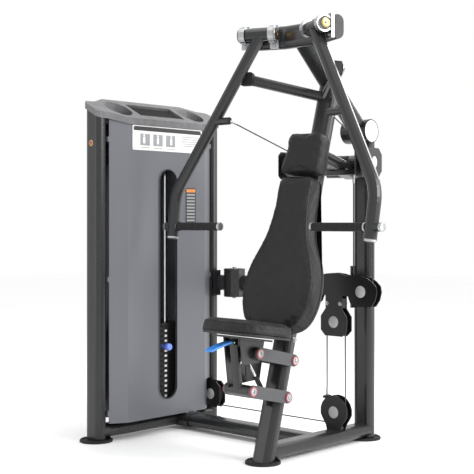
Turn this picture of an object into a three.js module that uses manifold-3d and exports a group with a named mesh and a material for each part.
// Selectorised vertical chest press: two overhead press arms, a sloping back pad,
// a height-adjustable seat and a shrouded weight stack.
// Millimetres, +Z up, the user faces -Y, the weight tower stands on the -X side.

import * as THREE from 'three';
import { mergeVertices } from 'three/addons/utils/BufferGeometryUtils.js';
import Module from 'manifold-3d';

const wasm = await Module();
wasm.setup();

// ---------------------------------------------------------------- driving sizes

const GAP = 0.3;                       // clearance between pieces that touch
const TUBE = { wide: 105, deep: 60, wall: 3 };
const FOOT = { radius: 77.5, thick: 7, rim: 11 };
const FRAME_BASE = FOOT.thick + GAP;   // where posts stand on their feet

const MAST = { lean: 0.28, headY: 465, headZ: 1662 };
const HUB = { y: 685, z: 1457, radius: 56, bore: 48, half: 68 };
const UPRIGHT = { y: 726, top: 1440 };
const BASE_BAR_Z = 45;                 // centre height of every bar on the floor

const BEAM = { z: 1860.5, y: 262, knee: 91, angle: 23, reach: 172 };
const PIVOT = { z: 1867.5, offset: 42, inner: 44, outer: 180, arm: 98, tube: 28, shaft: 15 };
const BEARING = { width: 26, ring: 37, bore: 16, cap: 29, capThick: 7, foot: 40 };
const ARM = { radius: 27, wall: 3, bendX: 570, bendY: 30, bendZ: 1160, endX: 561, endY: 2, endZ: 962 };
const GRIP = { z: 1010, inner: 270, outer: 528, radius: 18, rod: 14, stub: 56 };
const EYE = { x: 285, y: 94, z: 1487 };
const STOP = { mastY: 430, z: 1597, armZ: 1680, inset: 30, radius: 24, rubber: 34, side: 60 };

const ROPE = 3;                        // cable radius
const SHEAVE = { rope: 53, rim: 60, hub: 24, bore: 8.8, half: 11, sides: 16 };
const AXLE = 8;
const PULLEY_PLANE_Y = 508;
const STRAND_X = 206;                  // outer strands between crossbar and yoke
const CROSSBAR = { z: 1289, y: 622, angle: 23, reach: 112 };
const UPPER_SHEAVE_Z = 1295;
const STRUT = { z: 1322, length: 250 };
const ANCHOR = { x: 100, z: 1257, tall: 24 };
const YOKE = { z: 715, blockZ: 570, half: 20, plate: 4 };
const LOWER_SHEAVE_Z = 154;
const CABLE_END_Z = 226;               // top of the block where the lift cable is clamped

const TOWER = { x: -881, y: 186, frontY: -189, rearY: 561 };
const SHROUD = { reach: 92, flat: 257, tuck: 47, end: 336, bottom: 82, sheet: 3 };
const SLOT = { width: 110, bottom: 169, top: 1284, rim: 8 };
const CAP = { slope: 0.52, lipZ: 1527, lipX: -789, thick: 27, margin: 6 };
const CUP = { radius: 70, wall: 4, offset: 241, floorZ: 1500 };
const TRAY = { length: 294, width: 130, depth: 15 };
const STACK = { bottom: 160, pitch: 24.67, plates: 15, half: 47, long: 150, groove: 0.8 };
const ROD = { offset: 66, radius: 10, collar: 25 };
const STEM = { radius: 10, bore: 13, above: 36 };
const PIN = { plate: 10, radius: 4.5, knob: 18 };
const TOP_BEAM = { bottom: 1300, tall: 40, half: 25, sheaveZ: 1420 };
const TOWER_SHEAVE_X = -795;

const LINK_BEAM_Y = 345;
const KNUCKLE = { x: -740, y: 610, radius: 55, bottom: 653, top: 784 };
const UPPER_LINK = { z: 717, tall: 80, deep: 50 };

const SEAT_LINK = { x: 70, thick: 8, tall: 53, pin: 8, hole: 8.6 };
const SEAT_PIVOTS = {
  upperRear: [125, 432],
  upperFront: [-101, 483],
  lowerRear: [82, 278],
  lowerFront: [-144, 329],
};
const CARRIAGE_POST = { top: [-184, 553], bottom: [-156, 336], wide: 44, deep: 26 };
const SIDE_PLATE = { x: 46, thick: 5 };
const SEAT_PAD = { z: 584, thick: 62, tilt: 9, rear: 20, front: -275, halfRear: 200, halfFront: 186 };
const LEVER_HALF = 20;                 // half width of the seat's release lever
const GAS_SPRING = {
  rear: [24, 268], front: [-94, 446], body: 11, rod: 5, pin: 4.6, hole: 5.4, socket: 8.4,
};

const BACK_PAD = { bottom: 523, top: 1209, thick: 86 };
const HEADREST = { bottom: 1216, top: 1405, thick: 78 };
const PAD_STANDOFF = 12;

// ---------------------------------------------------------------- materials

function finish(color, roughness, metalness) {
  return new THREE.MeshStandardMaterial({ color, roughness, metalness });
}

const PAINT = finish(0x45474a, 0.38, 0.6);
const BLACK_PAINT = finish(0x1d1e20, 0.5, 0.3);
const LINK_PAINT = finish(0x626365, 0.45, 0.5);
const RUBBER = finish(0x161616, 0.8, 0);
const SILVER = finish(0xcfd1d4, 0.28, 0.9);
const CHROME = finish(0xd8dadc, 0.12, 1);
const PANEL = finish(0x80838a, 0.42, 0.4);
const CAP_PLASTIC = finish(0xb6b7bb, 0.4, 0.1);
const UPHOLSTERY = finish(0x36373a, 0.62, 0);
const SHEAVE_PLASTIC = finish(0x26272a, 0.5, 0);
const STEEL = finish(0x3a3c3f, 0.45, 0.7);
const BLUE = finish(0x2f7ed0, 0.35, 0);
const CABLE_BLACK = finish(0x141414, 0.45, 0);

// ---------------------------------------------------------------- solids

const X = new THREE.Vector3(1, 0, 0);
const Y = new THREE.Vector3(0, 1, 0);
const Z = new THREE.Vector3(0, 0, 1);

function vec(x, y, z) {
  return new THREE.Vector3(x, y, z);
}

/** Matrix that carries local X and Z onto xDir and zDir, with its origin at point. */
function frameAt(point, xDir, zDir) {
  const z = zDir.clone().normalize();
  const x = xDir.clone().addScaledVector(z, -xDir.dot(z)).normalize();
  const y = new THREE.Vector3().crossVectors(z, x);
  return new THREE.Matrix4().makeBasis(x, y, z).setPosition(point);
}

/** Turns a closed three.js geometry into a solid that can be joined and cut. */
function toSolid(geometry, matrix) {
  const bare = geometry.clone();
  bare.deleteAttribute('normal');
  bare.deleteAttribute('uv');
  const merged = mergeVertices(bare);
  if (matrix) merged.applyMatrix4(matrix);
  return new wasm.Manifold(new wasm.Mesh({
    numProp: 3,
    vertProperties: new Float32Array(merged.attributes.position.array),
    triVerts: new Uint32Array(merged.index.array),
  }));
}

function toGeometry(solid) {
  const mesh = solid.getMesh();
  const geometry = new THREE.BufferGeometry();
  geometry.setAttribute('position', new THREE.BufferAttribute(new Float32Array(mesh.vertProperties), 3));
  geometry.setIndex(new THREE.BufferAttribute(new Uint32Array(mesh.triVerts), 1));
  geometry.computeVertexNormals();
  return geometry;
}

function join(...solids) {
  return solids.reduce((sum, solid) => sum.add(solid));
}

function cut(solid, ...tools) {
  return tools.reduce((rest, tool) => rest.subtract(tool), solid);
}

/** The largest connected body of a solid, without the slivers that a trim leaves. */
function mainBody(solid) {
  const bodies = solid.decompose();
  return bodies.reduce((best, body) => (body.volume() > best.volume() ? body : best));
}

/** Extrudes a shape along zDir, from start to start + length. */
function prism(shape, length, start, xDir, zDir, curveSegments = 4) {
  const geometry = new THREE.ExtrudeGeometry(shape, { depth: length, bevelEnabled: false, curveSegments });
  return toSolid(geometry, frameAt(start, xDir, zDir));
}

function box(sizeX, sizeY, sizeZ, centre, xDir = X, zDir = Z) {
  return toSolid(new THREE.BoxGeometry(sizeX, sizeY, sizeZ), frameAt(centre, xDir, zDir));
}

function rod(radius, from, to, segments = 12) {
  const along = to.clone().sub(from);
  const geometry = new THREE.CylinderGeometry(radius, radius, along.length(), segments);
  geometry.rotateX(Math.PI / 2);
  const side = Math.abs(along.z) > 0.9 * along.length() ? X : Z;
  return toSolid(geometry, frameAt(from.clone().add(to).multiplyScalar(0.5), side, along));
}

/** Turns a profile of [radius, height] points about zDir. */
function turned(profile, centre, zDir, segments = 20) {
  const points = profile.map(([radius, height]) => new THREE.Vector2(radius, height));
  const geometry = new THREE.LatheGeometry(points, segments);
  geometry.rotateX(Math.PI / 2);
  const side = Math.abs(zDir.z) > 0.9 ? X : Z;
  return toSolid(geometry, frameAt(centre, side, zDir));
}

function flatOval(wide, deep) {
  const radius = deep / 2;
  const half = wide / 2 - radius;
  const shape = new THREE.Shape();
  shape.absarc(half, 0, radius, -Math.PI / 2, Math.PI / 2, false);
  shape.absarc(-half, 0, radius, Math.PI / 2, 1.5 * Math.PI, false);
  return shape;
}

function polygon(points) {
  return new THREE.Shape(points.map(([x, y]) => new THREE.Vector2(x, y)));
}

/** A flat-oval frame tube between two points: its outside, its hollow and its trimming envelope. */
function frameTube(from, to, wideDir, wide = TUBE.wide, deep = TUBE.deep) {
  const along = to.clone().sub(from);
  const length = along.length();
  const lead = 1;
  const start = from.clone().addScaledVector(along, -lead / length);
  const inside = flatOval(wide - 2 * TUBE.wall, deep - 2 * TUBE.wall);
  return {
    outer: prism(flatOval(wide, deep), length, from, wideDir, along),
    hollow: prism(inside, length + 2 * lead, start, wideDir, along),
    envelope: prism(flatOval(wide + 2 * GAP, deep + 2 * GAP), length, from, wideDir, along),
    weldZone: prism(flatOval(wide - TUBE.wall, deep - TUBE.wall), length, from, wideDir, along),
  };
}

function tubeBody(tube, ...trims) {
  return mainBody(cut(tube.outer, tube.hollow, ...trims));
}

/** Everything below a level plane. */
function below(level) {
  return box(6000, 6000, 1000, vec(0, 0, level - 500));
}

// ---------------------------------------------------------------- routes for bent tubes and cables

/** A path through hand-placed stations, swept one section per station. */
class Route extends THREE.Curve {
  constructor(points) {
    super();
    this.stations = points;
  }

  get steps() {
    return this.stations.length - 1;
  }

  getPoint(t) {
    const at = Math.min(Math.max(t, 0), 1) * this.steps;
    const index = Math.min(Math.floor(at), this.steps - 1);
    return this.stations[index].clone().lerp(this.stations[index + 1], at - index);
  }

  getPointAt(u) {
    return this.getPoint(u);
  }

  getTangentAt(u) {
    const index = Math.round(u * this.steps);
    const before = this.stations[Math.max(index - 1, 0)];
    const after = this.stations[Math.min(index + 1, this.steps)];
    return after.clone().sub(before).normalize();
  }
}

/** Stations of a polyline whose inner corners are rounded with the given radius. */
function roundedRoute(corners, radius, arcSteps) {
  const stations = [corners[0]];
  for (let i = 1; i < corners.length - 1; i += 1) {
    const into = corners[i].clone().sub(corners[i - 1]).normalize();
    const out = corners[i + 1].clone().sub(corners[i]).normalize();
    const turn = into.angleTo(out);
    const reach = radius * Math.tan(turn / 2);
    const start = corners[i].clone().addScaledVector(into, -reach);
    const towardCentre = out.clone().addScaledVector(into, -out.dot(into)).normalize();
    const centre = start.clone().addScaledVector(towardCentre, radius);
    for (let k = 0; k <= arcSteps; k += 1) {
      const angle = (turn * k) / arcSteps;
      stations.push(centre.clone()
        .addScaledVector(towardCentre, -radius * Math.cos(angle))
        .addScaledVector(into, radius * Math.sin(angle)));
    }
  }
  stations.push(corners[corners.length - 1]);
  return stations;
}

/** Stations on an arc about centre, from angle a0 to a1, in the plane of uDir and vDir. */
function arcStations(centre, radius, uDir, vDir, a0, a1, steps) {
  const stations = [];
  for (let k = 0; k <= steps; k += 1) {
    const angle = THREE.MathUtils.degToRad(a0 + ((a1 - a0) * k) / steps);
    stations.push(centre.clone()
      .addScaledVector(uDir, radius * Math.cos(angle))
      .addScaledVector(vDir, radius * Math.sin(angle)));
  }
  return stations;
}

/** A shape swept along stations; on a level route the shape's first axis stands upright. */
function sweepShape(stations, shape) {
  const route = new Route(stations);
  return toSolid(new THREE.ExtrudeGeometry(shape, {
    steps: route.steps,
    extrudePath: route,
    bevelEnabled: false,
    curveSegments: 4,
  }));
}

function sweepRound(stations, radius, sides) {
  const ring = [];
  for (let k = 0; k < sides; k += 1) {
    const angle = (2 * Math.PI * k) / sides;
    ring.push([radius * Math.cos(angle), radius * Math.sin(angle)]);
  }
  return sweepShape(stations, polygon(ring));
}

/** The point on the line from start through end that lies extra past end. */
function beyond(start, end, extra) {
  return end.clone().addScaledVector(end.clone().sub(start).normalize(), extra);
}

/** A level flat-oval tube, standing on its narrow side, bent at its inner stations. */
function bentTube(stations) {
  const last = stations.length - 1;
  const longer = [
    beyond(stations[1], stations[0], 1),
    ...stations.slice(1, last),
    beyond(stations[last - 1], stations[last], 1),
  ];
  return {
    outer: sweepShape(stations, flatOval(TUBE.wide, TUBE.deep)),
    hollow: sweepShape(longer, flatOval(TUBE.wide - 2 * TUBE.wall, TUBE.deep - 2 * TUBE.wall)),
    envelope: sweepShape(longer, flatOval(TUBE.wide + 2 * GAP, TUBE.deep + 2 * GAP)),
    weldZone: sweepShape(longer, flatOval(TUBE.wide - TUBE.wall, TUBE.deep - TUBE.wall)),
  };
}

// ---------------------------------------------------------------- the assembly

const machine = new THREE.Group();

function addPart(name, solid, material) {
  const mesh = new THREE.Mesh(toGeometry(solid), material);
  mesh.name = name;
  machine.add(mesh);
}

// ---------------------------------------------------------------- frame

const MAST_UP = vec(0, MAST.lean, 1).normalize();
const MAST_FRONT = vec(0, -1, MAST.lean).normalize();

function mastPoint(z) {
  return vec(0, MAST.lean * z, z);
}

function footDisc(x, y) {
  const profile = [
    [0, 0], [FOOT.radius, 0], [FOOT.radius, FOOT.rim - 2], [FOOT.radius - 3, FOOT.rim],
    [FOOT.radius - 9, FOOT.rim], [FOOT.radius - 11, FOOT.thick], [0, FOOT.thick],
  ];
  return turned(profile, vec(x, y, 0), Z, 18);
}

const mastTube = frameTube(mastPoint(-40), vec(0, MAST.headY, MAST.headZ), X);
const hubCentre = vec(0, HUB.y, HUB.z);
const hubEnvelope = hubRod(HUB.radius + GAP, HUB.half + 1);
const uprightTube = frameTube(vec(0, UPRIGHT.y, 0), vec(0, UPRIGHT.y, UPRIGHT.top), X);
const baseBarTube = frameTube(vec(0, MAST.lean * BASE_BAR_Z, BASE_BAR_Z), vec(0, UPRIGHT.y, BASE_BAR_Z), X);
const headDirection = vec(0, MAST.headY - HUB.y, MAST.headZ - HUB.z).normalize();
const headTube = frameTube(hubCentre, hubCentre.clone().addScaledVector(headDirection, 640), X);

/** A level cylinder on the cross hub's axis. */
function hubRod(radius, half) {
  return rod(radius, vec(-half, HUB.y, HUB.z), vec(half, HUB.y, HUB.z), 24);
}

/** Direction along the outer part of the V beam and its forward normal, side +1 or -1. */
function vFrame(side, degrees) {
  const angle = THREE.MathUtils.degToRad(degrees);
  return {
    along: vec(side * Math.cos(angle), -Math.sin(angle), 0),
    normal: vec(-side * Math.sin(angle), -Math.cos(angle), 0),
  };
}

/** Stations of a level bar that bends forward towards both ends. */
function vStations(centre, knee, degrees, reach) {
  const right = vFrame(-1, degrees).along;
  const left = vFrame(1, degrees).along;
  const rightKnee = centre.clone().setX(-knee);
  const leftKnee = centre.clone().setX(knee);
  const middle = knee > 0 ? [rightKnee, leftKnee] : [centre];
  return [
    rightKnee.clone().addScaledVector(right, reach),
    ...middle,
    leftKnee.clone().addScaledVector(left, reach),
  ];
}

const beamTube = bentTube(vStations(vec(0, BEAM.y, BEAM.z), BEAM.knee, BEAM.angle, BEAM.reach));

/** Bosses and pins on the mast that the seat links turn on. */
function seatPins() {
  const stubs = [];
  for (const [y, z] of [SEAT_PIVOTS.upperRear, SEAT_PIVOTS.lowerRear]) {
    for (const side of [-1, 1]) {
      stubs.push(rod(SEAT_LINK.pin, vec(side * 58, y, z), vec(side * (SEAT_LINK.x + 10), y, z)));
      stubs.push(rod(17, vec(side * 51.5, y, z), vec(side * (SEAT_LINK.x - 6), y, z)));
    }
  }
  return join(...stubs);
}

function padMount(z, tall, wide) {
  const depth = PAD_STANDOFF - GAP + 2;
  const centre = mastPoint(z).addScaledVector(MAST_FRONT, TUBE.deep / 2 - 2 + depth / 2);
  return box(wide, tall, depth, centre, X, MAST_FRONT);
}

function mast() {
  const { rear } = GAS_SPRING;
  const ear = box(14, 44, 34, vec(0, rear[0] + 12, rear[1] - 8));
  const eyeHole = rod(GAS_SPRING.hole, yz(rear, -20), yz(rear, 20));
  const tube = cut(mastTube.outer, mastTube.hollow, headTube.envelope, below(FRAME_BASE));
  const mounts = [padMount(690, 110, 44), padMount(1110, 90, 44), padMount(1300, 70, 44)];
  const earOutside = cut(ear, mastTube.weldZone, eyeHole);
  return mainBody(join(tube, seatPins(), earOutside, ...mounts));
}

function headFrame() {
  const tube = tubeBody(headTube, beamTube.envelope);
  return mainBody(cut(join(tube, hubRod(HUB.radius, HUB.half)), hubRod(HUB.bore, HUB.half + 1)));
}

function pulleyCrossbar() {
  const bar = bentTube(vStations(vec(0, CROSSBAR.y, CROSSBAR.z), 0, CROSSBAR.angle, CROSSBAR.reach));
  const mastRear = MAST.lean * STRUT.z + TUBE.deep / 2;
  const strutStart = vec(0, mastRear - 15, STRUT.z + 15 * MAST.lean);
  const strutEnd = strutStart.clone().addScaledVector(MAST_FRONT, -STRUT.length);
  const strut = frameTube(strutStart, strutEnd, X);
  const strutBody = tubeBody(strut, mastTube.envelope, bar.weldZone);
  const anchorBar = box(2 * ANCHOR.x + 30, 26, ANCHOR.tall, vec(0, PULLEY_PLANE_Y, ANCHOR.z));
  const brackets = [1, -1].map((side) => upperBracket(side));
  return mainBody(join(cut(bar.outer, bar.hollow), strutBody, anchorBar, ...brackets));
}

// ---------------------------------------------------------------- pulleys

/** Plane and centre of the sheave that turns an arm's cable down towards the yoke. */
function upperSheave(side) {
  const strand = vec(side * STRAND_X, PULLEY_PLANE_Y, 0);
  const forward = vec(side * EYE.x, EYE.y, 0).sub(strand).normalize();
  const centre = strand.addScaledVector(forward, SHEAVE.rope);
  centre.z = UPPER_SHEAVE_Z;
  return { centre, forward, across: new THREE.Vector3().crossVectors(forward, Z).multiplyScalar(side) };
}

function sheave(centre, axle) {
  const { half, rim, rope, hub, bore } = SHEAVE;
  const groove = rope - ROPE - 1.4;
  const profile = [
    [bore, -half - 3], [hub, -half - 3], [rope - 12, -half], [rim, -half], [groove, -3.4], [groove, 3.4],
    [rim, half], [rope - 12, half], [hub, half + 3], [bore, half + 3], [bore, -half - 3],
  ];
  return turned(profile, centre, axle, SHEAVE.sides);
}

/** A fixed axle whose ends are sunk into the plates on either side. */
function axleBetween(centre, axleDir, half) {
  const reach = axleDir.clone().setLength(half + 1);
  return rod(AXLE, centre.clone().sub(reach), centre.clone().add(reach));
}

/** A pair of cheek plates on both sides of a sheave, with the axle between them. */
function cheeks(outline, centre, xDir, axleDir, half, plate) {
  const front = centre.clone().addScaledVector(axleDir, half - plate);
  const back = centre.clone().addScaledVector(axleDir, -half);
  return join(
    prism(outline, plate, front, xDir, axleDir),
    prism(outline, plate, back, xDir, axleDir),
    axleBetween(centre, axleDir, half - plate),
  );
}

function upperBracket(side) {
  const { centre, forward, across } = upperSheave(side);
  const outline = polygon([
    [-50, -64], [50, -64], [64, -48], [64, 48], [50, 64], [-50, 64], [-82, 36], [-82, -36],
  ]);
  const plates = cheeks(outline, centre, forward, across, 32, 5);
  const web = box(18, 62, 70, centre.clone().addScaledVector(forward, -72), forward, Z);
  const { along } = vFrame(side, CROSSBAR.angle);
  const insideBar = vec(0, CROSSBAR.y, CROSSBAR.z).addScaledVector(along, CROSSBAR.reach - 16);
  const tongue = box(30, 36, 88, insideBar, along, Z);
  const barEnd = insideBar.clone().addScaledVector(along, 8).setZ(centre.z);
  const toBar = barEnd.clone().sub(centre.clone().addScaledVector(forward, -78));
  const middle = barEnd.clone().addScaledVector(toBar, -0.5);
  const link = box(toBar.length(), 36, 70, middle, toBar, Z);
  return join(plates, web, link, tongue);
}

function yokeOutline() {
  const shape = new THREE.Shape();
  shape.moveTo(0, 81);
  shape.quadraticCurveTo(45, 80, 80, 68);
  shape.quadraticCurveTo(116, 78, 153, 72);
  shape.quadraticCurveTo(192, 66, 216, 48);
  shape.quadraticCurveTo(246, 30, 243, 0);
  shape.quadraticCurveTo(240, -38, 212, -66);
  shape.lineTo(120, -70);
  shape.quadraticCurveTo(88, -60, 82, -24);
  shape.lineTo(47, -24);
  shape.lineTo(47, -84);
  shape.lineTo(75, -120);
  shape.lineTo(75, -184);
  shape.lineTo(49, -210);
  return shape;
}

function yokePlateShape() {
  const half = yokeOutline().getPoints(2);
  const mirrored = half.slice(1).reverse().map((point) => new THREE.Vector2(-point.x, point.y));
  return new THREE.Shape([...half, ...mirrored]);
}

function yoke() {
  const shape = yokePlateShape();
  const centre = vec(0, PULLEY_PLANE_Y, YOKE.z);
  const front = prism(shape, YOKE.plate, centre.clone().setY(PULLEY_PLANE_Y - YOKE.half), X, vec(0, -1, 0));
  const frontPlate = front.translate([0, YOKE.plate, 0]);
  const backPlate = front.translate([0, 2 * YOKE.half, 0]);
  const sheaveX = STRAND_X - SHEAVE.rope;
  const axles = [[sheaveX, YOKE.z], [-sheaveX, YOKE.z], [0, YOKE.blockZ]].map(([x, z]) => axleBetween(
    vec(x, PULLEY_PLANE_Y, z), Y, YOKE.half - YOKE.plate,
  ));
  const spacer = box(90, 2 * YOKE.half - 2, 44, vec(0, PULLEY_PLANE_Y, 657));
  const bridge = box(60, 2 * YOKE.half - 2, 70, vec(0, PULLEY_PLANE_Y, 745));
  return mainBody(join(frontPlate, backPlate, ...axles, spacer, bridge));
}

function teardrop() {
  const shape = new THREE.Shape();
  shape.moveTo(-38, -96);
  shape.lineTo(38, -96);
  shape.quadraticCurveTo(40, -60, 62, -36);
  shape.lineTo(76, -12);
  shape.absarc(0, 0, 78, THREE.MathUtils.degToRad(12), THREE.MathUtils.degToRad(168), false);
  shape.lineTo(-76, -12);
  shape.lineTo(-62, -36);
  shape.quadraticCurveTo(-40, -60, -38, -96);
  return shape;
}

function lowerBracket() {
  const centre = vec(0, PULLEY_PLANE_Y, LOWER_SHEAVE_Z);
  const plates = cheeks(teardrop(), centre, X, vec(0, -1, 0), YOKE.half, YOKE.plate);
  const anchor = box(20, 2 * YOKE.half - 2, 12, vec(-SHEAVE.rope, PULLEY_PLANE_Y, CABLE_END_Z - 6));
  const tie = box(70, 2 * YOKE.half - 2, 12, vec(0, PULLEY_PLANE_Y, 83));
  return mainBody(cut(join(plates, anchor, tie), baseBarTube.envelope));
}

function towerPulleyBracket() {
  const centre = vec(TOWER_SHEAVE_X, PULLEY_PLANE_Y, LOWER_SHEAVE_Z);
  const outline = polygon([
    [-105, -50], [40, -66], [66, -40], [66, 40], [40, 66], [-40, 66], [-105, 50],
  ]);
  const postFace = TOWER.rearY - TUBE.deep / 2 - GAP;
  const backThick = postFace - (PULLEY_PLANE_Y + 15.5);
  return mainBody(join(
    prism(outline, 4, centre.clone().setY(PULLEY_PLANE_Y - 15.5), X, vec(0, -1, 0)),
    prism(outline, backThick, centre.clone().setY(postFace), X, vec(0, -1, 0)),
    rod(AXLE, centre.clone().setY(PULLEY_PLANE_Y - 16.5), centre.clone().setY(PULLEY_PLANE_Y + 16.5)),
    box(16, 2 * 16, 70, vec(TOWER_SHEAVE_X - 88, PULLEY_PLANE_Y, LOWER_SHEAVE_Z)),
  ));
}

// ---------------------------------------------------------------- press arms

function pivotFrame(side) {
  const { along, normal } = vFrame(side, BEAM.angle);
  const knee = vec(side * BEAM.knee, BEAM.y, PIVOT.z);
  const face = knee.addScaledVector(normal, TUBE.deep / 2);
  const at = (s, out = PIVOT.offset) => face.clone().addScaledVector(along, s).addScaledVector(normal, out);
  return { along, normal, at };
}

function armCorners(side) {
  const top = pivotFrame(side).at(PIVOT.arm);
  return [top, vec(side * ARM.bendX, ARM.bendY, ARM.bendZ), vec(side * ARM.endX, ARM.endY, ARM.endZ)];
}

/** Point on the straight upper part of an arm at height z. */
function armPoint(side, z) {
  const [top, bend] = armCorners(side);
  return top.clone().lerp(bend, (top.z - z) / (top.z - bend.z));
}

function lowerArmPoint(side, z) {
  const [, bend, end] = armCorners(side);
  return bend.clone().lerp(end, (bend.z - z) / (bend.z - end.z));
}

function bearing(side, s, capSide) {
  const { along, normal, at } = pivotFrame(side);
  const half = BEARING.width / 2;
  const { ring: outer, bore, cap, capThick } = BEARING;
  const end = half + capThick;
  const ring = turned([
    [bore, -half], [outer, -half], [outer, half], [cap, half], [cap, end - 2], [cap - 2, end],
    [bore, end], [bore, -half],
  ], at(s), along.clone().multiplyScalar(capSide), 20);
  const foot = box(BEARING.foot, 12, 104, at(s, GAP + 6).setZ(BEAM.z), along, Z);
  const web = box(BEARING.width, 16, 58, at(s, 14).setZ(PIVOT.z), along, Z);
  return mainBody(join(ring, foot, web));
}

function arm(side) {
  const { at } = pivotFrame(side);
  const half = BEARING.width / 2;
  const clearance = 1.5;
  const tubeFrom = at(PIVOT.inner + half + clearance);
  const tubeTo = at(PIVOT.outer - half - clearance);
  const shaftReach = half + BEARING.capThick - 2;
  const stations = roundedRoute(armCorners(side), 190, 5);
  const arch = cut(sweepRound(stations, ARM.radius, 12), sweepRound(stations, ARM.radius - ARM.wall, 12));
  const gripPoint = lowerArmPoint(side, GRIP.z);
  const eyeRoot = armPoint(side, EYE.z);
  const gripRod = rod(GRIP.rod, gripPoint, gripPoint.clone().setX(side * (GRIP.inner - 8)));
  const outerStub = rod(GRIP.radius, gripPoint, gripPoint.clone().setX(side * (ARM.endX + GRIP.stub)));
  const cableStub = rod(17, eyeRoot, vec(side * EYE.x, EYE.y, EYE.z));
  return mainBody(join(
    cut(arch, rod(PIVOT.tube - 2, tubeFrom, tubeTo, 16)),
    rod(PIVOT.tube, tubeFrom, tubeTo, 16),
    rod(PIVOT.shaft, at(PIVOT.inner - shaftReach), at(PIVOT.outer + shaftReach), 16),
    gripRod,
    outerStub,
    cableStub,
  ));
}

function grip(side) {
  const { y } = lowerArmPoint(side, GRIP.z);
  const { inner, outer, radius, rod: core } = GRIP;
  const length = outer - inner;
  const profile = [
    [core + GAP, 0], [radius, 0], [radius, length - 4], [radius + 4, length - 3], [radius + 4, length],
    [core + GAP, length], [core + GAP, 0],
  ];
  return turned(profile, vec(side * inner, y, GRIP.z), vec(side, 0, 0), 20);
}

/** Ends of the stop bar and of the rubber buffer behind one arm. */
function stopFrame(side) {
  const { along, normal } = vFrame(side, BEAM.angle);
  const contact = armPoint(side, STOP.armZ);
  const barEnd = contact.clone()
    .addScaledVector(normal, -(ARM.radius + 2 + STOP.rubber))
    .addScaledVector(along, -STOP.inset);
  return { barEnd, normal, along };
}

function stopBar() {
  const root = vec(0, STOP.mastY, STOP.z);
  const bars = [1, -1].map((side) => {
    const { barEnd } = stopFrame(side);
    const outward = barEnd.clone().sub(root).normalize();
    return rod(STOP.radius, root, barEnd.clone().addScaledVector(outward, -GAP));
  });
  const buffers = [1, -1].map((side) => bufferEnvelope(side));
  return mainBody(cut(join(...bars), mastTube.envelope, ...buffers));
}

function bufferEnvelope(side) {
  const { barEnd, normal, along } = stopFrame(side);
  const middle = barEnd.clone().addScaledVector(normal, STOP.rubber / 2);
  return box(STOP.side + 2 * GAP, STOP.side + 2 * GAP, STOP.rubber + 2 * GAP, middle, along, normal);
}

function buffer(side) {
  const { barEnd, normal, along } = stopFrame(side);
  const half = STOP.side / 2;
  const bevel = 8;
  const outline = polygon([
    [-half + bevel, -half], [half - bevel, -half], [half, -half + bevel], [half, half - bevel],
    [half - bevel, half], [-half + bevel, half], [-half, half - bevel], [-half, -half + bevel],
  ]);
  return prism(outline, STOP.rubber, barEnd, along, normal);
}

// ---------------------------------------------------------------- weight tower

const frontPost = frameTube(vec(TOWER.x, TOWER.frontY, 0), vec(TOWER.x, TOWER.frontY, 1700), X);
const rearPost = frameTube(vec(TOWER.x, TOWER.rearY, 0), vec(TOWER.x, TOWER.rearY, 1700), X);
const towerBaseTube = frameTube(
  vec(TOWER.x, TOWER.frontY, BASE_BAR_Z), vec(TOWER.x, TOWER.rearY, BASE_BAR_Z), X,
);
const capAngle = Math.atan(CAP.slope);
const CAP_NORMAL = vec(Math.sin(capAngle), 0, Math.cos(capAngle));
const CAP_ALONG = vec(Math.cos(capAngle), 0, -Math.sin(capAngle));

function capTop(x) {
  return CAP.lipZ + CAP.slope * (CAP.lipX - x);
}

/** Everything above the inclined plane that lies the given depth under the cap's top face. */
function aboveCapPlane(depth) {
  const on = vec(TOWER.x, TOWER.y, capTop(TOWER.x)).addScaledVector(CAP_NORMAL, -depth);
  return box(2000, 2000, 1000, on.addScaledVector(CAP_NORMAL, 500), CAP_ALONG, CAP_NORMAL);
}

function towerPost(tube) {
  return mainBody(cut(tube.outer, tube.hollow, below(FRAME_BASE), aboveCapPlane(CAP.thick + GAP)));
}

/** Plan outline of one bulged cover as a strip of sheet, side +1 towards the user. */
function shroudOutline(side, outset, sheet) {
  const line = [
    [SHROUD.tuck, -SHROUD.end], [SHROUD.reach, -SHROUD.flat],
    [SHROUD.reach, SHROUD.flat], [SHROUD.tuck, SHROUD.end],
  ];
  const outer = line.map(([x, y]) => [side * (x + outset), y]);
  const inner = line.map(([x, y]) => [side * (x + outset - sheet), y]).reverse();
  return polygon(side > 0 ? [...outer, ...inner] : [...outer, ...inner].reverse());
}

function shroudTabs(side) {
  const tabs = [];
  const postFace = TUBE.deep / 2 + GAP;
  for (const z of [130, 760, 1420]) {
    for (const [postY, end, toward] of [[TOWER.frontY, -SHROUD.end, 1], [TOWER.rearY, SHROUD.end, -1]]) {
      const from = postY + toward * postFace;
      const to = TOWER.y + end + toward * 4;
      const x = TOWER.x + side * (SHROUD.tuck - 7);
      tabs.push(box(14, Math.abs(to - from), 24, vec(x, (from + to) / 2, z)));
    }
  }
  return tabs;
}

function slotShape(grow) {
  const radius = SLOT.width / 2 + grow;
  const shape = new THREE.Shape();
  const low = SLOT.bottom + SLOT.width / 2;
  const high = SLOT.top - SLOT.width / 2;
  shape.absarc(0, low, radius, Math.PI, 2 * Math.PI, false);
  shape.absarc(0, high, radius, 0, Math.PI, false);
  return shape;
}

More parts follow.
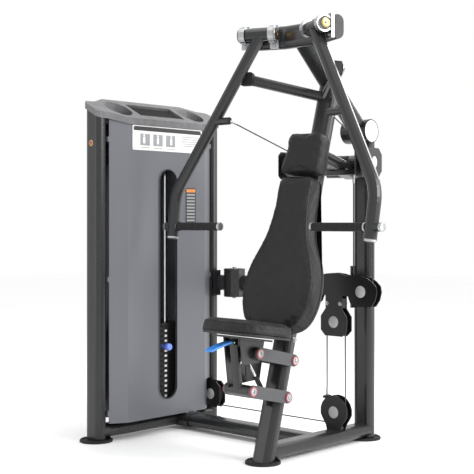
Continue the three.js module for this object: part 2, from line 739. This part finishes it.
function shroud(side) {
  const height = 1600;
  const base = vec(TOWER.x, TOWER.y, SHROUD.bottom);
  const sheet = prism(shroudOutline(side, 0, SHROUD.sheet), height, base, X, Z);
  let cover = cut(join(sheet, ...shroudTabs(side)), aboveCapPlane(CAP.thick + GAP));
  if (side > 0) {
    const faceX = TOWER.x + SHROUD.reach;
    const rimStart = vec(faceX - SHROUD.sheet, TOWER.y, 0);
    const rim = prism(slotShape(SLOT.rim), SHROUD.sheet + 3, rimStart, Y, X, 8);
    const hole = prism(slotShape(0), 40, vec(faceX - 20, TOWER.y, 0), Y, X, 8);
    const notch = box(140, 80, 160, vec(TOWER_SHEAVE_X, PULLEY_PLANE_Y + 4, LOWER_SHEAVE_Z - 2));
    cover = cut(join(cover, rim), hole, notch);
  }
  return mainBody(cover);
}

function capOutline() {
  const { margin } = CAP;
  const postEnd = TOWER.rearY + TUBE.deep / 2 - TOWER.y + margin;
  const postSide = TUBE.wide / 2 + margin - 6;
  const chamfer = 14;
  const plusPlus = [
    [SHROUD.reach + margin, SHROUD.flat + 3], [postSide + 4, SHROUD.end + 4],
    [postSide, postEnd - chamfer], [postSide - chamfer, postEnd],
  ];
  const minusPlus = plusPlus.map(([x, y]) => [-x, y]).reverse();
  const minusMinus = plusPlus.map(([x, y]) => [-x, -y]);
  const plusMinus = plusPlus.map(([x, y]) => [x, -y]).reverse();
  return polygon([...plusPlus, ...minusPlus, ...minusMinus, ...plusMinus]);
}

function towerCap() {
  const column = prism(capOutline(), 500, vec(TOWER.x, TOWER.y, 1400), X, Z);
  const middle = vec(TOWER.x, TOWER.y, capTop(TOWER.x));
  const belowCentre = middle.clone().addScaledVector(CAP_NORMAL, -CAP.thick - 500);
  const belowCap = box(2000, 2000, 1000, belowCentre, CAP_ALONG, CAP_NORMAL);
  const slab = cut(column, aboveCapPlane(0), belowCap);
  const cupCentres = [-1, 1].map((end) => vec(TOWER.x, TOWER.y + end * CUP.offset, 0));
  const cups = cupCentres.map((centre) => cut(
    rod(CUP.radius + CUP.wall, centre.clone().setZ(CUP.floorZ - CUP.wall), centre.clone().setZ(1660), 24),
    aboveCapPlane(0),
  ));
  const wells = cupCentres.map((centre) => rod(
    CUP.radius, centre.clone().setZ(CUP.floorZ), centre.clone().setZ(1760), 24,
  ));
  const tray = box(TRAY.width, TRAY.length, 2 * TRAY.depth, middle, CAP_ALONG, CAP_NORMAL);
  return mainBody(cut(join(slab, ...cups), ...wells, tray));
}

function guideRod(end) {
  const y = TOWER.y + end * ROD.offset;
  const bottom = BASE_BAR_Z + TUBE.deep / 2 + GAP;
  return join(
    rod(ROD.radius, vec(TOWER.x, y, bottom), vec(TOWER.x, y, TOP_BEAM.bottom - GAP)),
    rod(ROD.collar, vec(TOWER.x, y, bottom), vec(TOWER.x, y, STACK.bottom - GAP), 16),
  );
}

/** One block of stacked plates, with a fine groove between neighbours. */
function plateBlock(first, last) {
  const bottom = STACK.bottom + first * STACK.pitch;
  const top = STACK.bottom + (last + 1) * STACK.pitch - GAP;
  const inset = 1.6;
  const core = box(
    2 * (STACK.half - inset), 2 * (STACK.long - inset), top - bottom,
    vec(TOWER.x, TOWER.y, (top + bottom) / 2),
  );
  const plates = [core];
  for (let k = first; k <= last; k += 1) {
    const thick = STACK.pitch - STACK.groove;
    const low = Math.min(STACK.bottom + k * STACK.pitch, top - thick);
    plates.push(box(2 * STACK.half, 2 * STACK.long, thick, vec(TOWER.x, TOWER.y, low + thick / 2)));
  }
  return join(...plates);
}

function plateHoles(first, last) {
  const from = STACK.bottom + first * STACK.pitch - 5;
  const to = STACK.bottom + (last + 1) * STACK.pitch + 5;
  const holes = [
    rod(STEM.bore, vec(TOWER.x, TOWER.y, from), vec(TOWER.x, TOWER.y, to), 12),
    ...[-1, 1].map((end) => rod(
      ROD.radius + 1.2,
      vec(TOWER.x, TOWER.y + end * ROD.offset, from),
      vec(TOWER.x, TOWER.y + end * ROD.offset, to),
      12,
    )),
  ];
  for (let k = first; k <= last; k += 1) holes.push(pinHole(k));
  return holes;
}

function drilledPlates(first, last) {
  return mainBody(cut(plateBlock(first, last), ...plateHoles(first, last)));
}

function plateCentre(index) {
  return STACK.bottom + (index + 0.5) * STACK.pitch - GAP;
}

function pinHole(index) {
  const z = plateCentre(index);
  return rod(PIN.radius + 1, vec(TOWER.x, TOWER.y, z), vec(TOWER.x + STACK.half + 2, TOWER.y, z), 6);
}

function headPlate() {
  const last = STACK.plates - 1;
  const top = STACK.bottom + STACK.plates * STACK.pitch;
  const plate = drilledPlates(last, last);
  const onAxis = (z, x = 0) => vec(TOWER.x + x, TOWER.y, z);
  const pinZ = plateCentre(PIN.plate);
  const pinBore = rod(PIN.radius + 1, onAxis(pinZ, -20), onAxis(pinZ, 20), 8);
  const stem = rod(STEM.radius, onAxis(STACK.bottom + 8), onAxis(top + STEM.above));
  const boss = rod(STEM.bore + 6, onAxis(top - 12), onAxis(top + 12));
  return mainBody(cut(join(plate, stem, boss), pinBore));
}

function selectorPin() {
  const z = plateCentre(PIN.plate);
  const face = TOWER.x + STACK.half;
  const at = (x) => vec(x, TOWER.y, z);
  return join(
    rod(PIN.radius, at(TOWER.x - 8), at(face + 20), 12),
    rod(9, at(face + 2), at(face + 36), 16),
    turned([[0, 0], [12, 0], [PIN.knob, 6], [PIN.knob, 22], [14, 28], [0, 28]], at(face + 34), X, 14),
  );
}

/** Plane of the two sheaves at the top of the tower, from the rear strand to the stack. */
function towerTopPlane() {
  const rear = vec(TOWER_SHEAVE_X - SHEAVE.rope, PULLEY_PLANE_Y, TOP_BEAM.sheaveZ);
  const stack = vec(TOWER.x, TOWER.y, TOP_BEAM.sheaveZ);
  const forward = stack.clone().sub(rear).normalize();
  return {
    forward,
    across: new THREE.Vector3().crossVectors(forward, Z),
    rearCentre: rear.clone().addScaledVector(forward, SHEAVE.rope),
    stackCentre: stack.clone().addScaledVector(forward, -SHEAVE.rope),
  };
}

function towerTopBeam() {
  const from = TOWER.frontY + TUBE.deep / 2 + GAP;
  const to = TOWER.rearY - TUBE.deep / 2 - GAP;
  const beam = box(
    2 * TOP_BEAM.half, to - from, TOP_BEAM.tall,
    vec(TOWER.x, (from + to) / 2, TOP_BEAM.bottom + TOP_BEAM.tall / 2),
  );
  const cableAxis = vec(TOWER.x, TOWER.y, TOP_BEAM.bottom - 5);
  const hole = rod(ROPE + 6, cableAxis, cableAxis.clone().setZ(TOP_BEAM.bottom + 80), 16);
  const { forward, across, rearCentre, stackCentre } = towerTopPlane();
  const middle = rearCentre.clone().add(stackCentre).multiplyScalar(0.5);
  const span = rearCentre.distanceTo(stackCentre);
  const top = TOP_BEAM.sheaveZ + 24;
  const bottom = TOP_BEAM.bottom + TOP_BEAM.tall - 2;
  const plates = [-1, 1].map((flank) => box(
    span + 60, 5, top - bottom,
    middle.clone().setZ((top + bottom) / 2).addScaledVector(across, flank * 19), forward, Z,
  ));
  const axles = [rearCentre, stackCentre].map((centre) => axleBetween(centre, across, 16.5));
  return mainBody(join(cut(beam, hole), ...plates, ...axles));
}

// ---------------------------------------------------------------- link beams

const floorLinkTube = frameTube(vec(TOWER.x, LINK_BEAM_Y, BASE_BAR_Z), vec(0, LINK_BEAM_Y, BASE_BAR_Z), Y);

function floorLinkBeam() {
  const tube = tubeBody(floorLinkTube, towerBaseTube.envelope, baseBarTube.envelope);
  const start = vec(TOWER.x, LINK_BEAM_Y, BASE_BAR_Z);
  const socket = frameTube(start, start.clone().setX(TOWER.x + 118), Y, TUBE.wide + 14, TUBE.deep + 11);
  const sleeve = mainBody(cut(socket.outer, floorLinkTube.weldZone, towerBaseTube.envelope, below(10)));
  return mainBody(join(tube, sleeve));
}

function upperLinkBeam() {
  const { z, tall, deep } = UPPER_LINK;
  const knuckleAt = (height) => vec(KNUCKLE.x, KNUCKLE.y, height);
  const knuckle = rod(KNUCKLE.radius, knuckleAt(KNUCKLE.bottom), knuckleAt(KNUCKLE.top), 16);
  const stub = frameTube(vec(TOWER.x, TOWER.rearY, z), knuckleAt(z), Z, tall, deep);
  const beam = frameTube(knuckleAt(z), vec(0, UPRIGHT.y, z), Z, tall, deep);
  const plate = 12;
  const plateX = TUBE.wide / 2 + GAP + plate / 2;
  const flange = box(plate, 50, 200, vec(-plateX, UPRIGHT.y, z + 3));
  const postPlate = box(plate, 50, 130, vec(TOWER.x + plateX, TOWER.rearY, z));
  const tubes = [stub, beam].map((tube) => cut(tube.outer, tube.hollow));
  const body = join(knuckle, ...tubes, flange, postPlate);
  return mainBody(cut(body, uprightTube.envelope, rearPost.envelope));
}

// ---------------------------------------------------------------- seat

const yz = ([y, z], x = 0) => vec(x, y, z);

/** One link plate pair, turning on the mast and joined by its front pin. */
function seatLink(rear, front) {
  const from = yz(rear);
  const to = yz(front);
  const along = to.clone().sub(from);
  const shape = flatOval(along.length() + SEAT_LINK.tall * 0.86, SEAT_LINK.tall);
  const middle = from.clone().add(to).multiplyScalar(0.5);
  const plates = [-1, 1].map((side) => {
    const x = side * SEAT_LINK.x;
    const start = middle.clone().setX(x - SEAT_LINK.thick / 2);
    const hole = rod(SEAT_LINK.hole, yz(rear, x - SEAT_LINK.thick), yz(rear, x + SEAT_LINK.thick));
    return cut(prism(shape, SEAT_LINK.thick, start, along, X), hole);
  });
  const pin = rod(SEAT_LINK.pin, yz(front, -SEAT_LINK.x - 6), yz(front, SEAT_LINK.x + 6));
  return join(...plates, pin);
}

/** The post, side plates, spring lugs and shelf that carry the seat on the front ends of the links. */
function seatCarriage() {
  const inside = SEAT_LINK.x - 6;
  const pivots = [SEAT_PIVOTS.upperFront, SEAT_PIVOTS.lowerFront];
  const sleeves = pivots.map((pivot) => rod(23, yz(pivot, -inside), yz(pivot, inside), 16));
  const pinHoles = pivots.map((pivot) => rod(
    SEAT_LINK.hole, yz(pivot, -SEAT_LINK.x), yz(pivot, SEAT_LINK.x),
  ));
  const { top, bottom, wide, deep } = CARRIAGE_POST;
  const up = yz(top).sub(yz(bottom));
  const post = prism(flatOval(wide, deep), up.length(), yz(bottom), X, up);
  const gusset = [[-196, 555], [-44, 529], [-60, 474], [-78, 440], [-178, 440]];
  const longPlate = [
    [-196, 555], [-44, 529], [-60, 474], [-40, 458], [46, 440], [28, 352], [-112, 345], [-168, 338],
  ];
  const sidePlates = [[1, gusset], [-1, longPlate]].map(([side, outline]) => prism(
    polygon(outline), SIDE_PLATE.thick, vec(side * SIDE_PLATE.x - SIDE_PLATE.thick / 2, 0, 0), Y, X,
  ));
  const lugs = [-1, 1].map((side) => cut(
    box(4, 28, 54, vec(side * 9.5, GAS_SPRING.front[0] - 2, GAS_SPRING.front[1] + 12)),
    rod(GAS_SPRING.socket, yz(GAS_SPRING.front, -20), yz(GAS_SPRING.front, 20)),
  ));
  const brace = box(2 * SIDE_PLATE.x, 60, 6, vec(0, -88, 500));
  const shelfCentre = vec(0, -128, SEAT_PAD.z - SEAT_PAD.thick / 2 - 9);
  const shelf = box(170, 190, 8, shelfCentre, X, seatUp());
  const body = join(...sleeves, post, ...sidePlates, ...lugs, brace, shelf);
  return mainBody(cut(body, ...pinHoles));
}

/** The seat's own upward direction: it is tilted back. */
function seatUp() {
  const tilt = THREE.MathUtils.degToRad(SEAT_PAD.tilt);
  return vec(0, Math.sin(tilt), Math.cos(tilt));
}

/** Seat outline: a wide back with a rounder, slightly narrower front. */
function seatShape() {
  const { rear, front, halfRear, halfFront } = SEAT_PAD;
  const back = 88;
  const nose = 150;
  const shape = new THREE.Shape();
  const deg = THREE.MathUtils.degToRad;
  shape.absarc(halfRear - back, rear - back, back, 0, deg(90), false);
  shape.absarc(-halfRear + back, rear - back, back, deg(90), deg(180), false);
  shape.absarc(-halfFront + nose, front + nose, nose, deg(180), deg(270), false);
  shape.absarc(halfFront - nose, front + nose, nose, deg(270), deg(360), false);
  return shape;
}

function seatPad() {
  const up = seatUp();
  const middle = (SEAT_PAD.rear + SEAT_PAD.front) / 2;
  const origin = vec(0, middle, SEAT_PAD.z).addScaledVector(up, -SEAT_PAD.thick / 2);
  const start = origin.addScaledVector(new THREE.Vector3().crossVectors(up, X), -middle);
  return prism(seatShape(), SEAT_PAD.thick, start, X, up, 5);
}

function seatLever() {
  const profile = polygon([
    [-201, 536], [-210, 539], [-262, 530], [-331, 512], [-331, 504], [-262, 521], [-212, 530], [-201, 528],
  ]);
  return prism(profile, 2 * LEVER_HALF, vec(-LEVER_HALF, 0, 0), Y, X);
}

function gasAxis() {
  const rear = yz(GAS_SPRING.rear);
  const front = yz(GAS_SPRING.front);
  return { rear, front, along: front.clone().sub(rear).normalize() };
}

function gasCylinder() {
  const { rear, along } = gasAxis();
  const at = (distance) => rear.clone().addScaledVector(along, distance);
  const tube = rod(GAS_SPRING.body, at(22), at(128), 16);
  const fork = [-1, 1].map((side) => box(3, 16, 34, at(11).setX(side * 9.5), X, along));
  const pin = rod(GAS_SPRING.pin, rear.clone().setX(-12), rear.clone().setX(12));
  const bore = rod(GAS_SPRING.rod + 0.6, at(28), at(133));
  return mainBody(cut(join(tube, ...fork, pin), bore));
}

function gasRod() {
  const { rear, front, along } = gasAxis();
  return join(
    rod(GAS_SPRING.rod, rear.clone().addScaledVector(along, 103), front),
    rod(9, front.clone().setX(-6), front.clone().setX(6)),
    rod(GAS_SPRING.pin, front.clone().setX(-14), front.clone().setX(14)),
  );
}

// ---------------------------------------------------------------- pads

/** Half of a pad's outline in the mast's sloping plane: x sideways, y up the mast. */
function padShape(firstHeight, curves) {
  const slope = Math.hypot(1, MAST.lean);
  const shape = new THREE.Shape();
  shape.moveTo(0, firstHeight * slope);
  for (const [x1, h1, x2, h2, x, height] of curves) {
    shape.bezierCurveTo(x1, h1 * slope, x2, h2 * slope, x, height * slope);
  }
  return shape;
}

/** The back pad is broad at the hips and narrow between the shoulders. */
function backPadShape() {
  const { bottom, top } = BACK_PAD;
  return padShape(bottom, [
    [80, bottom, 134, 532, 166, 572],
    [198, 612, 209, 680, 204, 740],
    [199, 796, 172, 850, 146, 905],
    [124, 952, 112, 1010, 106, 1070],
    [103, 1110, 101, 1140, 100, 1165],
    [98, 1196, 82, top, 56, top],
  ]);
}

function headrestShape() {
  const { bottom, top } = HEADREST;
  return padShape(bottom, [
    [50, bottom, 72, bottom, 88, bottom],
    [106, bottom, 114, 1226, 112, 1250],
    [110, 1290, 103, 1330, 101, 1368],
    [99, 1394, 88, top, 66, top],
  ]);
}

/** A pad on the mast, mirrored from the right half of its outline. */
function mastPad(halfShape, thick) {
  const half = halfShape.getPoints(6);
  const mirrored = half.slice(1).reverse().map((point) => new THREE.Vector2(-point.x, point.y));
  const start = vec(0, 0, 0).addScaledVector(MAST_FRONT, TUBE.deep / 2 + PAD_STANDOFF);
  return prism(new THREE.Shape([...half, ...mirrored]), thick, start, X, MAST_FRONT);
}

// ---------------------------------------------------------------- cables

function pressCable(side) {
  const { centre, forward } = upperSheave(side);
  const eye = vec(side * EYE.x, EYE.y, EYE.z);
  const toEye = eye.clone().sub(centre);
  const distance = Math.hypot(toEye.dot(forward), toEye.z);
  const elevation = THREE.MathUtils.radToDeg(Math.atan2(toEye.z, toEye.dot(forward)));
  const contact = elevation + THREE.MathUtils.radToDeg(Math.acos(SHEAVE.rope / distance));
  const sheaveX = STRAND_X - SHEAVE.rope;
  const yokeCentre = vec(side * sheaveX, PULLEY_PLANE_Y, YOKE.z);
  const overSheave = arcStations(centre, SHEAVE.rope, forward, Z, contact, 180, 7);
  return sweepRound([
    eye.lerp(overSheave[0], 0.03),
    ...overSheave,
    ...arcStations(yokeCentre, SHEAVE.rope, vec(side, 0, 0), Z, 0, -180, 10),
    vec(side * ANCHOR.x, PULLEY_PLANE_Y, ANCHOR.z - ANCHOR.tall / 2 - GAP),
  ], ROPE, 8);
}

function liftCable() {
  const { forward, rearCentre, stackCentre } = towerTopPlane();
  const left = vec(-1, 0, 0);
  const top = STACK.bottom + STACK.plates * STACK.pitch;
  const block = vec(0, PULLEY_PLANE_Y, YOKE.blockZ);
  const lower = vec(0, PULLEY_PLANE_Y, LOWER_SHEAVE_Z);
  const towerLower = vec(TOWER_SHEAVE_X, PULLEY_PLANE_Y, LOWER_SHEAVE_Z);
  return sweepRound([
    vec(-SHEAVE.rope, PULLEY_PLANE_Y, CABLE_END_Z + GAP),
    ...arcStations(block, SHEAVE.rope, left, Z, 0, 180, 10),
    ...arcStations(lower, SHEAVE.rope, X, Z, 0, -90, 5),
    ...arcStations(towerLower, SHEAVE.rope, X, Z, 270, 180, 5),
    ...arcStations(rearCentre, SHEAVE.rope, forward, Z, 180, 90, 5),
    ...arcStations(stackCentre, SHEAVE.rope, forward, Z, 90, 0, 5),
    vec(TOWER.x, TOWER.y, top + STEM.above + GAP),
  ], ROPE, 8);
}

// ---------------------------------------------------------------- parts list

addPart('foot_mast', footDisc(0, 0), RUBBER);
addPart('foot_rear', footDisc(0, UPRIGHT.y), RUBBER);
addPart('foot_tower_front', footDisc(TOWER.x, TOWER.frontY), RUBBER);
addPart('foot_tower_rear', footDisc(TOWER.x, TOWER.rearY), RUBBER);
addPart('mast', mast(), PAINT);
addPart('main_base_beam', tubeBody(baseBarTube, mastTube.envelope, uprightTube.envelope), PAINT);
addPart('rear_upright', tubeBody(uprightTube, hubEnvelope, headTube.envelope, below(FRAME_BASE)), PAINT);
addPart('head_tube', headFrame(), PAINT);
addPart('arm_beam', tubeBody(beamTube), PAINT);
addPart('stop_bar', stopBar(), PAINT);
addPart('pulley_crossbar', pulleyCrossbar(), PAINT);
addPart('lower_pulley_bracket', lowerBracket(), BLACK_PAINT);
addPart('tower_pulley_bracket', towerPulleyBracket(), BLACK_PAINT);
addPart('floor_link_beam', floorLinkBeam(), PAINT);
addPart('upper_link_beam', upperLinkBeam(), PAINT);

addPart('tower_front_post', towerPost(frontPost), PAINT);
addPart('tower_rear_post', towerPost(rearPost), PAINT);
addPart('tower_base_beam', tubeBody(towerBaseTube, frontPost.envelope, rearPost.envelope), PAINT);
addPart('tower_top_beam', towerTopBeam(), STEEL);
addPart('tower_cap', towerCap(), CAP_PLASTIC);
addPart('shroud_inner', shroud(1), PANEL);
addPart('shroud_outer', shroud(-1), PANEL);
addPart('guide_rod_front', guideRod(-1), CHROME);
addPart('guide_rod_rear', guideRod(1), CHROME);
addPart('plates_resting', drilledPlates(0, PIN.plate - 1), STEEL);
addPart('plates_lifted', drilledPlates(PIN.plate, STACK.plates - 2), STEEL);
addPart('head_plate', headPlate(), STEEL);
addPart('selector_pin', selectorPin(), BLUE);

for (const [label, side] of [['left', 1], ['right', -1]]) {
  addPart(`bearing_inner_${label}`, bearing(side, PIVOT.inner, -1), SILVER);
  addPart(`bearing_outer_${label}`, bearing(side, PIVOT.outer, 1), SILVER);
  addPart(`arm_${label}`, arm(side), PAINT);
  addPart(`grip_${label}`, grip(side), RUBBER);
  addPart(`buffer_${label}`, buffer(side), RUBBER);
  const { centre, across } = upperSheave(side);
  addPart(`upper_pulley_${label}`, sheave(centre, across), SHEAVE_PLASTIC);
  const yokeSheave = vec(side * (STRAND_X - SHEAVE.rope), PULLEY_PLANE_Y, YOKE.z);
  addPart(`yoke_pulley_${label}`, sheave(yokeSheave, Y), SHEAVE_PLASTIC);
  addPart(`press_cable_${label}`, pressCable(side), CABLE_BLACK);
}

addPart('yoke', yoke(), BLACK_PAINT);
addPart('block_pulley', sheave(vec(0, PULLEY_PLANE_Y, YOKE.blockZ), Y), SHEAVE_PLASTIC);
addPart('lower_pulley', sheave(vec(0, PULLEY_PLANE_Y, LOWER_SHEAVE_Z), Y), SHEAVE_PLASTIC);
addPart('tower_pulley', sheave(vec(TOWER_SHEAVE_X, PULLEY_PLANE_Y, LOWER_SHEAVE_Z), Y), SHEAVE_PLASTIC);
const topPlane = towerTopPlane();
addPart('tower_top_pulley_rear', sheave(topPlane.rearCentre, topPlane.across), SHEAVE_PLASTIC);
addPart('tower_top_pulley_stack', sheave(topPlane.stackCentre, topPlane.across), SHEAVE_PLASTIC);
addPart('lift_cable', liftCable(), CABLE_BLACK);

addPart('seat_link_upper', seatLink(SEAT_PIVOTS.upperRear, SEAT_PIVOTS.upperFront), LINK_PAINT);
addPart('seat_link_lower', seatLink(SEAT_PIVOTS.lowerRear, SEAT_PIVOTS.lowerFront), LINK_PAINT);
addPart('seat_carriage', seatCarriage(), PAINT);
addPart('seat_pad', seatPad(), UPHOLSTERY);
addPart('seat_lever', seatLever(), BLUE);
addPart('gas_spring_cylinder', gasCylinder(), BLACK_PAINT);
addPart('gas_spring_rod', gasRod(), CHROME);
addPart('back_pad', mastPad(backPadShape(), BACK_PAD.thick), UPHOLSTERY);
addPart('headrest', mastPad(headrestShape(), HEADREST.thick), UPHOLSTERY);

// Stand the machine on the ground, centred over its footprint.
const bounds = new THREE.Box3().setFromObject(machine);
machine.position.set(-(bounds.min.x + bounds.max.x) / 2, -(bounds.min.y + bounds.max.y) / 2, -bounds.min.z);
machine.updateMatrixWorld(true);

export default machine;
